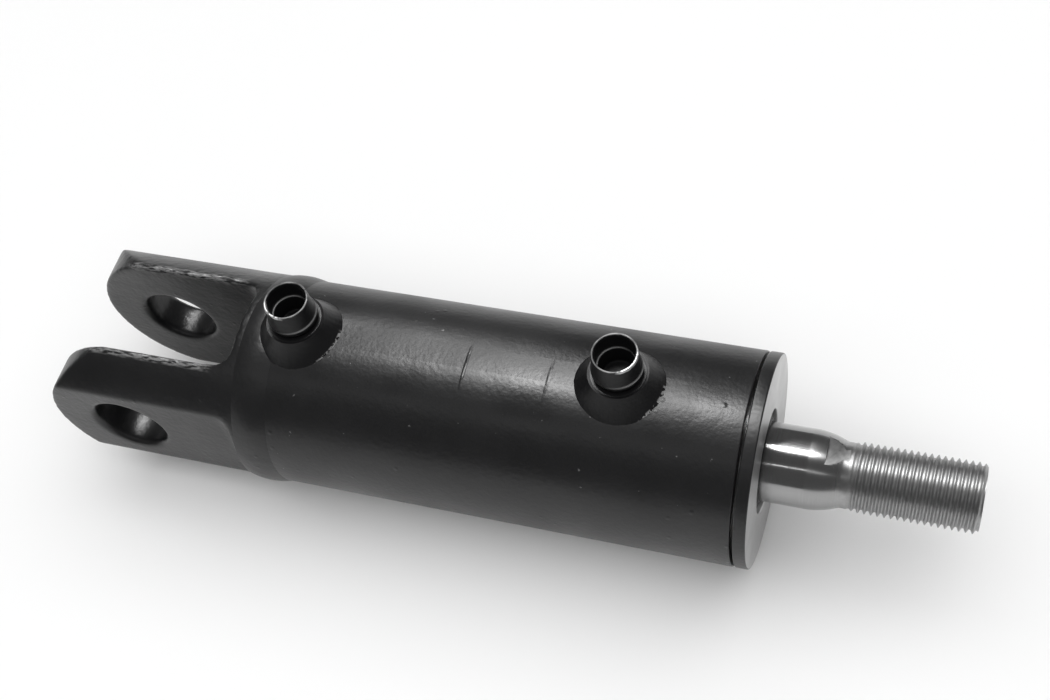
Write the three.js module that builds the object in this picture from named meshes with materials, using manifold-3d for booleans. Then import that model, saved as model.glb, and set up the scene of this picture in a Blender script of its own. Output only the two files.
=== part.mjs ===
// Hydraulic cylinder: welded barrel with a clevis, two oil ports, a screwed-in gland and a threaded rod.
// Units are millimetres. The origin is the centre of the clevis pin hole. +X runs along the cylinder to the
// rod end, +Y along the pin, and +Z through the two ports. The rod is drawn fully retracted.
import * as THREE from "three";
import { mergeVertices } from "three/addons/utils/BufferGeometryUtils.js";
import Module from "manifold-3d";

const wasm = await Module();
wasm.setup();

// Driving dimensions
const barrelRadius = 34;
const boreRadius = 28;
const rodRadius = 12.5;
const stroke = 60;
const pinHoleRadius = 12.5;
const slotWidth = 31.5;
const widthAcrossEars = 57.5;
const capEndPortX = 62.6;
const rodEndPortX = 168;
const glandFaceX = 211.8;
const rodEndX = 276.8;
const threadPitch = 2;
const threadCrestRadius = 10.85;

// Clearances between separate pieces
const gap = 0.3;
const runningGap = 0.05;

// Smoothness
const barrelSegments = 36;
const rodSegments = 24;
const portSegments = 20;

// ---- Helpers ----------------------------------------------------------------------------------------------

function solidFrom(geometry) {
  const bare = geometry.index ? geometry.toNonIndexed() : geometry.clone();
  bare.deleteAttribute("normal");
  bare.deleteAttribute("uv");
  const merged = mergeVertices(bare, 1e-4);
  const mesh = new wasm.Mesh({
    numProp: 3,
    vertProperties: merged.attributes.position.array,
    triVerts: new Uint32Array(merged.index.array),
  });
  return new wasm.Manifold(mesh);
}

function geometryFrom(solid) {
  const mesh = solid.getMesh();
  const geometry = new THREE.BufferGeometry();
  geometry.setAttribute("position", new THREE.BufferAttribute(mesh.vertProperties, 3));
  geometry.setIndex(new THREE.BufferAttribute(mesh.triVerts, 1));
  geometry.computeVertexNormals();
  return geometry;
}

// A body turned about the cylinder's X axis. Its profile is a list of [x, radius], in the order that runs
// towards +X along the outside.
function turned(profile, segments = barrelSegments) {
  const points = profile.map(([x, radius]) => new THREE.Vector2(radius, x));
  return new THREE.LatheGeometry(points, segments).rotateZ(-Math.PI / 2);
}

// A ring turned about X: the profile closes on itself.
function turnedRing(profile, segments = barrelSegments) {
  return turned([...profile, profile[0]], segments);
}

// A body turned about a port's axis, which runs along Z at the given X. Its profile is a list of [radius, z],
// in the order that runs upwards along the outside.
function turnedAtPort(profile, portX) {
  const points = profile.map(([radius, z]) => new THREE.Vector2(radius, z));
  return new THREE.LatheGeometry(points, portSegments).rotateX(Math.PI / 2).translate(portX, 0, 0);
}

// A flat-sided ring with a square section.
function squareRing(startX, endX, innerRadius, outerRadius, segments = barrelSegments) {
  const profile = [
    [startX, innerRadius],
    [startX, outerRadius],
    [endX, outerRadius],
    [endX, innerRadius],
  ];
  return turnedRing(profile, segments);
}

// A ring with a round section.
function roundRing(centreX, ringRadius, sectionRadius, segments = barrelSegments) {
  const sides = 6;
  const profile = [];
  for (let side = 0; side < sides; side += 1) {
    const angle = Math.PI - (side * 2 * Math.PI) / sides;
    profile.push([centreX + sectionRadius * Math.cos(angle), ringRadius + sectionRadius * Math.sin(angle)]);
  }
  return turnedRing(profile, segments);
}

// A plate drawn in the XY plane, from -halfHeight to +halfHeight along Z.
function plateAlongZ(shape, halfHeight, curveSegments = 6) {
  const options = { depth: 2 * halfHeight, bevelEnabled: false, curveSegments };
  return new THREE.ExtrudeGeometry(shape, options).translate(0, 0, -halfHeight);
}

// A plate drawn in the XZ plane, from -halfWidth to +halfWidth along Y.
function plateAlongY(shape, halfWidth, curveSegments = 6) {
  return plateAlongZ(shape, halfWidth, curveSegments).rotateX(Math.PI / 2);
}

const model = new THREE.Group();

function addPiece(name, geometry, material) {
  const mesh = new THREE.Mesh(geometry, material);
  mesh.name = name;
  model.add(mesh);
}

// ---- Materials --------------------------------------------------------------------------------------------

function finish(color, roughness, metalness) {
  return new THREE.MeshStandardMaterial({ color, roughness, metalness });
}

const blackPaint = finish(0x1e1e20, 0.42, 0.0);
const turnedSteel = finish(0xa9a9a6, 0.35, 1.0);
const rodSteel = finish(0xc4c4c2, 0.18, 1.0);
const glossPaint = finish(0x0f0f10, 0.25, 0.0);
const blackRubber = finish(0x161616, 0.7, 0.0);
const guidePlastic = finish(0x8a7f6a, 0.6, 0.0);

// ---- Clevis and its weld ----------------------------------------------------------------------------------

const clevisRadius = 34.4;
const clevisTipX = -27.6;
const clevisTipRadius = 30.5;
const slotBottomX = 42;
const slotCornerRadius = 6;
const flatRunoutRadius = 5;
const flatEndX = 38.7;
const edgeBevel = 1.6;
const pinHoleBevel = 0.9;
const pinHoleSegments = 32;

const weldX = 50.5;
const weldRootRadius = 30;
const weldRootHalfWidth = 0.8;
const weldTopHalfWidth = 6.2;
const weldCrown = 1.2;
const capFaceX = 55;

function clevisStock() {
  return turned([
    [clevisTipX, 0],
    [clevisTipX, clevisRadius],
    [weldX - weldTopHalfWidth, clevisRadius],
    [weldX - weldRootHalfWidth, weldRootRadius],
    [weldX - weldRootHalfWidth, boreRadius - gap],
    [capFaceX, boreRadius - gap],
    [capFaceX, 0],
  ]);
}

// The side view that rounds the ears' tips.
function clevisSideOutline() {
  const centreX = clevisTipX + clevisTipRadius;
  const tall = clevisRadius + 5;
  const shape = new THREE.Shape();
  shape.moveTo(capFaceX + 5, -tall);
  shape.lineTo(capFaceX + 5, tall);
  shape.lineTo(centreX, tall);
  shape.lineTo(centreX, clevisTipRadius);
  shape.absarc(centreX, 0, clevisTipRadius, Math.PI / 2, (3 * Math.PI) / 2, false);
  shape.lineTo(centreX, -tall);
  shape.closePath();
  return plateAlongY(shape, clevisRadius + 5, 20);
}

// The slot between the ears, with rounded corners at its bottom.
function clevisSlot() {
  const half = slotWidth / 2;
  const cornerX = slotBottomX - slotCornerRadius;
  const cornerY = half - slotCornerRadius;
  const openX = clevisTipX - 10;
  const shape = new THREE.Shape();
  shape.moveTo(openX, -half);
  shape.lineTo(cornerX, -half);
  shape.absarc(cornerX, -cornerY, slotCornerRadius, -Math.PI / 2, 0, false);
  shape.lineTo(slotBottomX, cornerY);
  shape.absarc(cornerX, cornerY, slotCornerRadius, 0, Math.PI / 2, false);
  shape.lineTo(openX, half);
  shape.closePath();
  return plateAlongZ(shape, clevisRadius + 5);
}

// The metal milled off the outside of one ear. It ends in a hollow corner and a short wall.
function earFlat(side) {
  const flat = widthAcrossEars / 2;
  const outside = clevisRadius + 5;
  const openX = clevisTipX - 10;
  const shape = new THREE.Shape();
  shape.moveTo(openX, flat);
  shape.lineTo(flatEndX, flat);
  shape.absarc(flatEndX, flat + flatRunoutRadius, flatRunoutRadius, -Math.PI / 2, 0, false);
  shape.lineTo(flatEndX + flatRunoutRadius, outside);
  shape.lineTo(openX, outside);
  shape.closePath();
  return plateAlongZ(shape, clevisRadius + 5).rotateX(side > 0 ? 0 : Math.PI);
}

// The bevel along the edge between an ear's inner face and the round stock, above (+1) or below (-1).
function earEdgeBevel(sideY, sideZ) {
  const edgeY = slotWidth / 2;
  const edgeZ = Math.sqrt(clevisRadius ** 2 - edgeY ** 2);
  const length = slotBottomX - slotCornerRadius - clevisTipX + 10;
  const bar = new THREE.BoxGeometry(length, 2 * edgeBevel, 2 * edgeBevel);
  bar.rotateX(Math.PI / 4);
  bar.translate(clevisTipX - 10 + length / 2, sideY * edgeY, sideZ * (edgeZ + 0.6 * edgeBevel));
  return bar;
}

// The pin hole through both ears, with bevelled mouths on all four faces.
function pinHole() {
  const inner = slotWidth / 2;
  const outer = widthAcrossEars / 2;
  const mouth = pinHoleRadius + pinHoleBevel;
  const points = [
    [0, -outer - 1],
    [mouth, -outer - 1],
    [mouth, -outer],
    [pinHoleRadius, -outer + pinHoleBevel],
    [pinHoleRadius, -inner - pinHoleBevel],
    [mouth, -inner],
    [mouth, inner],
    [pinHoleRadius, inner + pinHoleBevel],
    [pinHoleRadius, outer - pinHoleBevel],
    [mouth, outer],
    [mouth, outer + 1],
    [0, outer + 1],
  ].map(([radius, y]) => new THREE.Vector2(radius, y));
  return new THREE.LatheGeometry(points, pinHoleSegments);
}

function clevis() {
  let body = solidFrom(clevisStock()).intersect(solidFrom(clevisSideOutline()));
  body = body.subtract(solidFrom(clevisSlot()));
  for (const side of [-1, 1]) {
    body = body.subtract(solidFrom(earFlat(side)));
    body = body.subtract(solidFrom(earEdgeBevel(side, 1)));
    body = body.subtract(solidFrom(earEdgeBevel(side, -1)));
  }
  return geometryFrom(body.subtract(solidFrom(pinHole())));
}

// The bead that fills the groove between the clevis and the tube, with a low crown.
function clevisWeld() {
  const topHalf = weldTopHalfWidth - 1.4 * gap;
  const rootHalf = weldRootHalfWidth - gap;
  const steps = 6;
  const profile = [[weldX - rootHalf, weldRootRadius + gap]];
  for (let step = 0; step <= steps; step += 1) {
    const along = (2 * step) / steps - 1;
    const height = weldCrown * Math.cos((along * Math.PI) / 2);
    profile.push([weldX + along * topHalf, clevisRadius + height]);
  }
  profile.push([weldX + rootHalf, weldRootRadius + gap]);
  return turnedRing(profile);
}

// ---- Barrel tube ------------------------------------------------------------------------------------------

const flangeThickness = 4;
const flangeStartX = glandFaceX - flangeThickness;
const tubeEndX = flangeStartX - 0.8;
const edgeChamfer = 0.4;
const mouthThreadRadius = 29.2;
const mouthThreadStartX = rodEndPortX + 22.5;
const oilHoleRadius = 4;

function tube() {
  const body = turnedRing([
    [weldX + weldRootHalfWidth, boreRadius],
    [weldX + weldRootHalfWidth, weldRootRadius],
    [weldX + weldTopHalfWidth, barrelRadius],
    [tubeEndX - edgeChamfer, barrelRadius],
    [tubeEndX, barrelRadius - edgeChamfer],
    [tubeEndX, mouthThreadRadius],
    [mouthThreadStartX, mouthThreadRadius],
    [mouthThreadStartX - 1.2, boreRadius],
  ]);
  let solid = solidFrom(body);
  for (const portX of [capEndPortX, rodEndPortX]) {
    const hole = new THREE.CylinderGeometry(oilHoleRadius, oilHoleRadius, barrelRadius, 24);
    hole.rotateX(Math.PI / 2).translate(portX, 0, barrelRadius);
    solid = solid.subtract(solidFrom(hole));
  }
  return geometryFrom(solid);
}

// ---- Ports: boss, weld and plug ---------------------------------------------------------------------------

const bossRadius = 8.6;
const bossTopZ = 40;
const bossBoreRadius = 6.9;
const bossFloorZ = barrelRadius + 1.4;
const portWeldTopRadius = 9.3;
const portWeldTopZ = 39.6;
const portWeldToeRadius = 14.3;
const plugRingRadius = 7.95;
const plugNeckRadius = 7.3;
const plugRingZ = 42;
const plugRingThickness = 1.2;
const plugRimZ = 50.3;
const plugRimRadius = 7;
const plugCupRadius = 6.15;
const plugLedgeZ = 44.2;
const plugWellRadius = 5.6;
const plugShankRadius = bossBoreRadius - gap;

// What is cut from a piece that stands on the tube, so that it follows the tube's round surface, and the
// crown of the clevis weld beside it.
function tubeClearance() {
  const overTube = barrelRadius + gap;
  const overWeld = clevisRadius + weldCrown + gap;
  return solidFrom(turned([
    [0, 0],
    [0, overWeld],
    [weldX + weldTopHalfWidth, overWeld],
    [weldX + weldTopHalfWidth, overTube],
    [glandFaceX, overTube],
    [glandFaceX, 0],
  ]));
}

function portBoss(portX) {
  const lowZ = barrelRadius - 4;
  const body = turnedAtPort([
    [oilHoleRadius, lowZ],
    [bossRadius, lowZ],
    [bossRadius, bossTopZ - edgeChamfer],
    [bossRadius - edgeChamfer, bossTopZ],
    [bossBoreRadius, bossTopZ],
    [bossBoreRadius, bossFloorZ],
    [oilHoleRadius, bossFloorZ],
    [oilHoleRadius, lowZ],
  ], portX);
  return geometryFrom(solidFrom(body).subtract(tubeClearance()));
}

function portWeld(portX) {
  const lowZ = barrelRadius - 4;
  const innerRadius = bossRadius + gap;
  const body = turnedAtPort([
    [innerRadius, lowZ],
    [portWeldToeRadius, lowZ],
    [portWeldToeRadius, barrelRadius],
    [portWeldTopRadius, portWeldTopZ],
    [innerRadius, portWeldTopZ],
    [innerRadius, lowZ],
  ], portX);
  return geometryFrom(solidFrom(body).subtract(tubeClearance()));
}

// A hollow plug: a shank in the boss, a neck that rests on the boss, a ring, and a thin cup above.
function portPlug(portX) {
  const shankLowZ = bossFloorZ + 0.6;
  return turnedAtPort([
    [0, shankLowZ],
    [plugShankRadius, shankLowZ],
    [plugShankRadius, bossTopZ + gap],
    [plugNeckRadius, bossTopZ + gap],
    [plugNeckRadius, plugRingZ],
    [plugRingRadius, plugRingZ],
    [plugRingRadius, plugRingZ + plugRingThickness],
    [plugRingRadius - 0.3, plugRingZ + plugRingThickness],
    [plugRimRadius, plugRimZ],
    [plugCupRadius, plugRimZ],
    [plugCupRadius, plugLedgeZ],
    [plugWellRadius, plugLedgeZ],
    [plugWellRadius, shankLowZ + 1.3],
    [0, shankLowZ + 1.3],
  ], portX);
}

// ---- Rod and what is fixed to it --------------------------------------------------------------------------

const rodTailX = capFaceX + gap;
const rodTailRadius = 9;
const nutStartX = rodTailX + 1.2;
const nutThickness = 11;
const nutAcrossFlats = 27;
const pistonStartX = nutStartX + nutThickness + gap;
const pistonLength = 32;
const pistonEndX = pistonStartX + pistonLength;
const pistonRadius = boreRadius - 0.4;
const glandNoseX = pistonEndX + stroke + gap;

const rodTaperStartX = 225.1;
const rodTaperEndX = 235.4;
const threadStartX = 237.2;
const threadRootRadius = 9.7;
const rodEndChamfer = 1;
const wrenchFlatStartX = 229.9;
const wrenchFlatHalfWidth = 11;
const wrenchFlatTilt = THREE.MathUtils.degToRad(-8);

// The rod's thread, drawn as rings at the thread's pitch.
function threadProfile() {
  const turns = Math.floor((rodEndX - rodEndChamfer - threadStartX) / threadPitch);
  const profile = [];
  for (let turn = 0; turn < turns; turn += 1) {
    const x = threadStartX + turn * threadPitch;
    profile.push([x, threadRootRadius], [x + threadPitch / 2, threadCrestRadius]);
  }
  profile.push([threadStartX + turns * threadPitch, threadRootRadius]);
  return profile;
}

// The rod's run from its full size down to the thread's root, which steepens as it goes.
function taperProfile() {
  const steps = 4;
  const profile = [];
  for (let step = 0; step <= steps; step += 1) {
    const along = step / steps;
    const drop = along ** 2;
    const x = rodTaperStartX + along * (rodTaperEndX - rodTaperStartX);
    profile.push([x, rodRadius - drop * (rodRadius - threadRootRadius)]);
  }
  return profile;
}

function rod() {
  const shoulderX = pistonEndX + gap;
  const bar = turned([
    [rodTailX, 0],
    [rodTailX, rodTailRadius - edgeChamfer],
    [rodTailX + edgeChamfer, rodTailRadius],
    [shoulderX, rodTailRadius],
    [shoulderX, rodRadius - edgeChamfer],
    [shoulderX + edgeChamfer, rodRadius],
    ...taperProfile(),
    ...threadProfile(),
    [rodEndX, threadRootRadius],
    [rodEndX, 0],
  ], rodSegments);
  let solid = solidFrom(bar);
  for (const side of [-1, 1]) {
    const cut = new THREE.BoxGeometry(threadStartX - wrenchFlatStartX, 2 * rodRadius, 4);
    cut.translate((threadStartX + wrenchFlatStartX) / 2, 0, side * (wrenchFlatHalfWidth + 2));
    cut.rotateX(wrenchFlatTilt);
    solid = solid.subtract(solidFrom(cut));
  }
  return geometryFrom(solid);
}

function nut() {
  const corner = nutAcrossFlats / 2 / Math.cos(Math.PI / 6);
  const shape = new THREE.Shape();
  for (let side = 0; side < 6; side += 1) {
    const angle = (side * Math.PI) / 3;
    const point = [corner * Math.cos(angle), corner * Math.sin(angle)];
    if (side === 0) shape.moveTo(...point);
    else shape.lineTo(...point);
  }
  shape.closePath();
  shape.holes.push(new THREE.Path().absarc(0, 0, rodTailRadius + gap, 0, 2 * Math.PI, true));
  const options = { depth: nutThickness, bevelEnabled: false, curveSegments: rodSegments };
  return new THREE.ExtrudeGeometry(shape, options).rotateY(Math.PI / 2).translate(nutStartX, 0, 0);
}

// Grooves are [start, end] along X.
const wearRingWidth = 8;
const sealGrooveWidth = 7;
const wearRingDepthRadius = 25.2;
const sealGrooveRadius = 22.5;
const rearWearGroove = [pistonStartX + 2.2, pistonStartX + 2.2 + wearRingWidth];
const frontWearGroove = [pistonEndX - 2.2 - wearRingWidth, pistonEndX - 2.2];
const pistonCentreX = (pistonStartX + pistonEndX) / 2;
const sealGroove = [pistonCentreX - sealGrooveWidth / 2, pistonCentreX + sealGrooveWidth / 2];
const pistonORingGroove = [pistonCentreX - 1.4, pistonCentreX + 1.4];
const pistonORingGrooveRadius = rodTailRadius + 2.3;
const pistonORingSection = 0.8;
const energizerThickness = 1.9;
const energizerOuter = sealGrooveRadius + gap + energizerThickness;

function outsideGroove([start, end], bottomRadius, landRadius) {
  return [
    [start, landRadius],
    [start, bottomRadius],
    [end, bottomRadius],
    [end, landRadius],
  ];
}

// The same groove cut in a bore, in the order that runs back towards -X.
function insideGroove(groove, bottomRadius, boreWallRadius) {
  return outsideGroove(groove, bottomRadius, boreWallRadius).reverse();
}

function piston() {
  const holeRadius = rodTailRadius + gap;
  return turnedRing([
    [pistonStartX, holeRadius],
    [pistonStartX, pistonRadius - 1],
    [pistonStartX + 1, pistonRadius],
    ...outsideGroove(rearWearGroove, wearRingDepthRadius, pistonRadius),
    ...outsideGroove(sealGroove, sealGrooveRadius, pistonRadius),
    ...outsideGroove(frontWearGroove, wearRingDepthRadius, pistonRadius),
    [pistonEndX - 1, pistonRadius],
    [pistonEndX, pistonRadius - 1],
    [pistonEndX, holeRadius],
    ...insideGroove(pistonORingGroove, pistonORingGrooveRadius, holeRadius),
  ]);
}

// A piston ring that fills its groove and rubs on the bore.
function pistonRing([start, end], innerRadius) {
  return squareRing(start + gap, end - gap, innerRadius, boreRadius - runningGap);
}

// ---- Gland and its seals ----------------------------------------------------------------------------------

const glandNoseRadius = 21;
const glandBodyStartX = rodEndPortX + 9;
const glandBodyRadius = boreRadius - gap;
const glandThreadRadius = mouthThreadRadius - gap;
const glandHoleRadius = rodRadius + gap;
const staticSealGroove = [glandBodyStartX + 4, glandBodyStartX + 10];
const staticSealGrooveRadius = 24.6;
const guideGroove = [glandNoseX + 3.5, glandNoseX + 12.5];
const guideGrooveRadius = 15;
const rodSealGroove = [mouthThreadStartX + 1, mouthThreadStartX + 8];
const rodSealGrooveRadius = 17.5;
const backupRingWidth = 1.5;
const wiperRecessRadius = 16.5;
const wiperRecessDepth = 6;

function gland() {
  const wiperFloorX = glandFaceX - wiperRecessDepth;
  return turnedRing([
    [glandNoseX, glandHoleRadius],
    [glandNoseX, glandNoseRadius],
    [glandBodyStartX, glandNoseRadius],
    [glandBodyStartX, glandBodyRadius],
    ...outsideGroove(staticSealGroove, staticSealGrooveRadius, glandBodyRadius),
    [mouthThreadStartX + gap, glandBodyRadius],
    [mouthThreadStartX + 1.5, glandThreadRadius],
    [flangeStartX, glandThreadRadius],
    [flangeStartX, barrelRadius - edgeChamfer],
    [flangeStartX + edgeChamfer, barrelRadius],
    [glandFaceX - edgeChamfer, barrelRadius],
    [glandFaceX, barrelRadius - edgeChamfer],
    [glandFaceX, wiperRecessRadius],
    [wiperFloorX, wiperRecessRadius],
    [wiperFloorX, glandHoleRadius],
    ...insideGroove(rodSealGroove, rodSealGrooveRadius, glandHoleRadius),
    ...insideGroove(guideGroove, guideGrooveRadius, glandHoleRadius),
  ]);
}

// A U-shaped seal: two lips, open towards the oil, with the inner lip on the rod.
function rodSeal() {
  const [start, end] = [rodSealGroove[0] + gap, rodSealGroove[1] - gap];
  const inner = rodRadius + runningGap;
  const outer = rodSealGrooveRadius - gap;
  const middle = (inner + outer) / 2;
  const lip = 1.3;
  const vee = 2.8;
  return turnedRing([
    [start, inner],
    [start, inner + lip],
    [start + vee, middle],
    [start, outer - lip],
    [start, outer],
    [end, outer],
    [end, inner],
  ], rodSegments);
}

// The wiper: a ring in the gland's recess, with a lip that leans outwards on to the rod.
function wiper() {
  const start = glandFaceX - wiperRecessDepth + gap;
  const inner = rodRadius + runningGap;
  const outer = wiperRecessRadius - gap;
  const shoulder = glandFaceX - 1.4;
  const tip = glandFaceX - 0.2;
  return turnedRing([
    [start, inner + 1],
    [start, outer],
    [shoulder, outer],
    [tip - 0.4, inner + 0.7],
    [tip, inner + 0.5],
    [tip, inner],
    [shoulder - 0.2, inner],
  ], rodSegments);
}

// ---- Assembly ---------------------------------------------------------------------------------------------

addPiece("clevis_base", clevis(), blackPaint);
addPiece("clevis_weld", clevisWeld(), blackPaint);
addPiece("barrel_tube", tube(), blackPaint);
for (const [end, portX] of [["cap_end", capEndPortX], ["rod_end", rodEndPortX]]) {
  addPiece(`${end}_port_boss`, portBoss(portX), blackPaint);
  addPiece(`${end}_port_weld`, portWeld(portX), blackPaint);
  addPiece(`${end}_port_plug`, portPlug(portX), glossPaint);
}

addPiece("gland", gland(), turnedSteel);
const [sealStart, sealEnd] = staticSealGroove;
const [guideStart, guideEnd] = guideGroove;
const staticSealInner = staticSealGrooveRadius + gap;
const staticSealSection = (glandBodyRadius - staticSealInner) / 2;
addPiece(
  "gland_backup_ring",
  squareRing(sealEnd - gap - backupRingWidth, sealEnd - gap, staticSealInner, glandBodyRadius),
  guidePlastic,
);
addPiece(
  "gland_o_ring",
  roundRing(sealStart + gap + staticSealSection, staticSealInner + staticSealSection, staticSealSection),
  blackRubber,
);
addPiece(
  "rod_guide_ring",
  squareRing(guideStart + gap, guideEnd - gap, rodRadius + runningGap, guideGrooveRadius - gap, rodSegments),
  guidePlastic,
);
addPiece("rod_seal", rodSeal(), blackRubber);
addPiece("wiper_seal", wiper(), blackRubber);

addPiece("piston_rod", rod(), rodSteel);
addPiece("piston", piston(), turnedSteel);
addPiece("piston_nut", nut(), turnedSteel);
const pistonORingRadius = (rodTailRadius + pistonORingGrooveRadius) / 2;
addPiece("piston_o_ring", roundRing(pistonCentreX, pistonORingRadius, pistonORingSection), blackRubber);

addPiece("piston_seal", pistonRing(sealGroove, energizerOuter + gap), guidePlastic);
addPiece(
  "piston_seal_energizer",
  squareRing(sealGroove[0] + 2 * gap, sealGroove[1] - 2 * gap, sealGrooveRadius + gap, energizerOuter),
  blackRubber,
);
addPiece("piston_wear_ring_rear", pistonRing(rearWearGroove, wearRingDepthRadius + gap), guidePlastic);
addPiece("piston_wear_ring_front", pistonRing(frontWearGroove, wearRingDepthRadius + gap), guidePlastic);

export default model;
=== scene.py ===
"""Hydraulic cylinder: smooth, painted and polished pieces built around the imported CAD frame."""
import math

import bmesh
import bpy
from mathutils import Matrix, Vector, noise


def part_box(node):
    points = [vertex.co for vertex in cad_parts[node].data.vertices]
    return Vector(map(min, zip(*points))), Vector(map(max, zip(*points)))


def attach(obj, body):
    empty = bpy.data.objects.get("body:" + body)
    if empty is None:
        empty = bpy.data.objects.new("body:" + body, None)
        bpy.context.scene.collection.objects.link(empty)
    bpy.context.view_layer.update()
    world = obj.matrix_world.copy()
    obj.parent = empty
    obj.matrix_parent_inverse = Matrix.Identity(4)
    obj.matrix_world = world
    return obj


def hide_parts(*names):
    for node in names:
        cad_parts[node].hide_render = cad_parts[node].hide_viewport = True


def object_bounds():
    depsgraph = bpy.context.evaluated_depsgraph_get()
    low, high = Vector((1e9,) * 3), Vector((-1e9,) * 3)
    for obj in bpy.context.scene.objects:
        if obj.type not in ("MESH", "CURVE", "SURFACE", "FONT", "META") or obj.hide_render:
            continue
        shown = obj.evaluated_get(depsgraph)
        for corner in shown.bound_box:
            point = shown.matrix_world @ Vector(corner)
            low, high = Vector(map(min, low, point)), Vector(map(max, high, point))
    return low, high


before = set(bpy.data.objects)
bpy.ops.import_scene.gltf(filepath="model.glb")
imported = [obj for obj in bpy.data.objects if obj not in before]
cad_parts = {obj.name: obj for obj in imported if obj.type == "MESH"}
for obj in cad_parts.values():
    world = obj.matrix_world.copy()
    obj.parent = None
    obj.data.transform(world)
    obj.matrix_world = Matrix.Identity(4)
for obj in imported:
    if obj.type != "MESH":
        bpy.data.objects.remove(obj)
cad_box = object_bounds()

MM = 0.001


# ---- Sizes, read from the frame ----------------------------------------------------------------------------

def radius_of(node):
    """Half of a turned node's width."""
    low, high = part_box(node)
    return (high.y - low.y) / 2


clevis_low, clevis_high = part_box("clevis_base")
weld_low, weld_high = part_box("clevis_weld")
tube_low, tube_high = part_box("barrel_tube")
gland_low, gland_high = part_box("gland")
wiper_low, wiper_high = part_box("wiper_seal")
rod_low, rod_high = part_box("piston_rod")

barrel_radius = radius_of("barrel_tube")
clevis_radius = radius_of("clevis_base")
rod_radius = radius_of("piston_rod")
wiper_radius = radius_of("wiper_seal")
face_x = gland_high.x
tube_end_x = tube_high.x
rod_end_x = rod_high.x

# Sizes of the CAD that no node's box gives.
gap = 0.3 * MM
running_gap = 0.05 * MM
bore_radius = barrel_radius - 6 * MM
slot_half = 15.75 * MM
ears_half = 28.75 * MM
pin_hole_radius = 12.5 * MM
oil_hole_radius = 4 * MM
rod_tail_radius = 9 * MM
tail_hole_radius = rod_tail_radius + gap
plug_ring_z = 42 * MM
plug_ledge_z = 44.2 * MM
plug_ledge_radius = 5.6 * MM
plug_wall_radius = 7.3 * MM
plug_rim_radius = 7 * MM

# Sizes of this model's own, where its shapes are finer than the CAD's.
port_weld_toe_along = 14.0 * MM
port_weld_toe_across = 13.6 * MM
rod_thread_start_x = face_x + 25 * MM
rod_flats_start_x = face_x + 18.1 * MM
rod_flats_turn = math.radians(-8)
rod_flats_slope = math.radians(7)


def port_middle(end):
    low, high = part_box(end + "_port_plug")
    return (low.x + high.x) / 2


ports = {end: port_middle(end) for end in ("cap_end", "rod_end")}


# ---- Mesh tools --------------------------------------------------------------------------------------------

def mesh_object(name, vertices, faces):
    mesh = bpy.data.meshes.new(name)
    mesh.from_pydata(vertices, [], faces)
    clean(mesh, 1e-7)
    obj = bpy.data.objects.new(name, mesh)
    bpy.context.scene.collection.objects.link(obj)
    return obj


def clean(mesh, hair, turn_outwards=True):
    """Merges points and faces thinner than a hair, and turns the faces outwards."""
    fine = bmesh.new()
    fine.from_mesh(mesh)
    bmesh.ops.remove_doubles(fine, verts=fine.verts, dist=hair)
    bmesh.ops.dissolve_degenerate(fine, edges=fine.edges, dist=hair)
    if turn_outwards:
        bmesh.ops.recalc_face_normals(fine, faces=fine.faces)
    fine.to_mesh(mesh)
    fine.free()


def smooth(obj, angle=30):
    obj.data.shade_smooth()
    obj.data.set_sharp_from_angle(angle=math.radians(angle))
    return obj


def rounded(corners, steps=4):
    """A closed outline of (along, radius, fillet) corners, each rounded by about its fillet."""
    points = []
    for index, (along, radius, fillet) in enumerate(corners):
        here = Vector((along, radius))
        if fillet == 0:
            points.append(tuple(here))
            continue
        before = Vector(corners[index - 1][:2]) - here
        after = Vector(corners[(index + 1) % len(corners)][:2]) - here
        reach = min(fillet, 0.49 * before.length, 0.49 * after.length)
        start = here + before.normalized() * reach
        end = here + after.normalized() * reach
        for step in range(steps + 1):
            t = step / steps
            points.append(tuple((1 - t) ** 2 * start + 2 * t * (1 - t) * here + t * t * end))
    return points


def turned(name, outline, steps=144, place=None):
    """A body turned about X. The outline is a closed list of (along, radius)."""
    place = place or Matrix.Identity(4)
    vertices = []
    faces = []
    for along, radius in outline:
        for step in range(steps):
            angle = 2 * math.pi * step / steps
            point = Vector((along, radius * math.sin(angle), radius * math.cos(angle)))
            vertices.append(place @ point)
    for row in range(len(outline)):
        after = (row + 1) % len(outline)
        for step in range(steps):
            beside = (step + 1) % steps
            faces.append((
                row * steps + step,
                row * steps + beside,
                after * steps + beside,
                after * steps + step,
            ))
    return smooth(mesh_object(name, vertices, faces))


def prism(outline, low, high, place):
    """A straight block with an outline in its own XY plane, from low to high along its Z."""
    count = len(outline)
    vertices = [place @ Vector((x, y, z)) for z in (low, high) for x, y in outline]
    faces = [tuple(range(count)), tuple(range(count, 2 * count))]
    for index in range(count):
        after = (index + 1) % count
        faces.append((index, after, count + after, count + index))
    return mesh_object("cutter", vertices, faces)


def apply_modifiers(obj):
    bpy.context.view_layer.update()
    graph = bpy.context.evaluated_depsgraph_get()
    mesh = bpy.data.meshes.new_from_object(obj.evaluated_get(graph))
    obj.modifiers.clear()
    old = obj.data
    obj.data = mesh
    bpy.data.meshes.remove(old)
    mesh.name = obj.name


def combine(target, tool, operation="DIFFERENCE"):
    modifier = target.modifiers.new("combine", "BOOLEAN")
    modifier.operation = operation
    modifier.solver = "EXACT"
    modifier.object = tool
    apply_modifiers(target)
    bpy.data.objects.remove(tool)
    clean(target.data, 0.002 * MM, turn_outwards=False)


def sleeve_faces(sections, ring):
    """Quads for closed sections of ring points each, joined into a closed loop."""
    faces = []
    for section in range(sections):
        here, beside = section * ring, (section + 1) % sections * ring
        for row in range(ring):
            after = (row + 1) % ring
            faces.append((here + row, here + after, beside + after, beside + row))
    return faces


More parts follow.
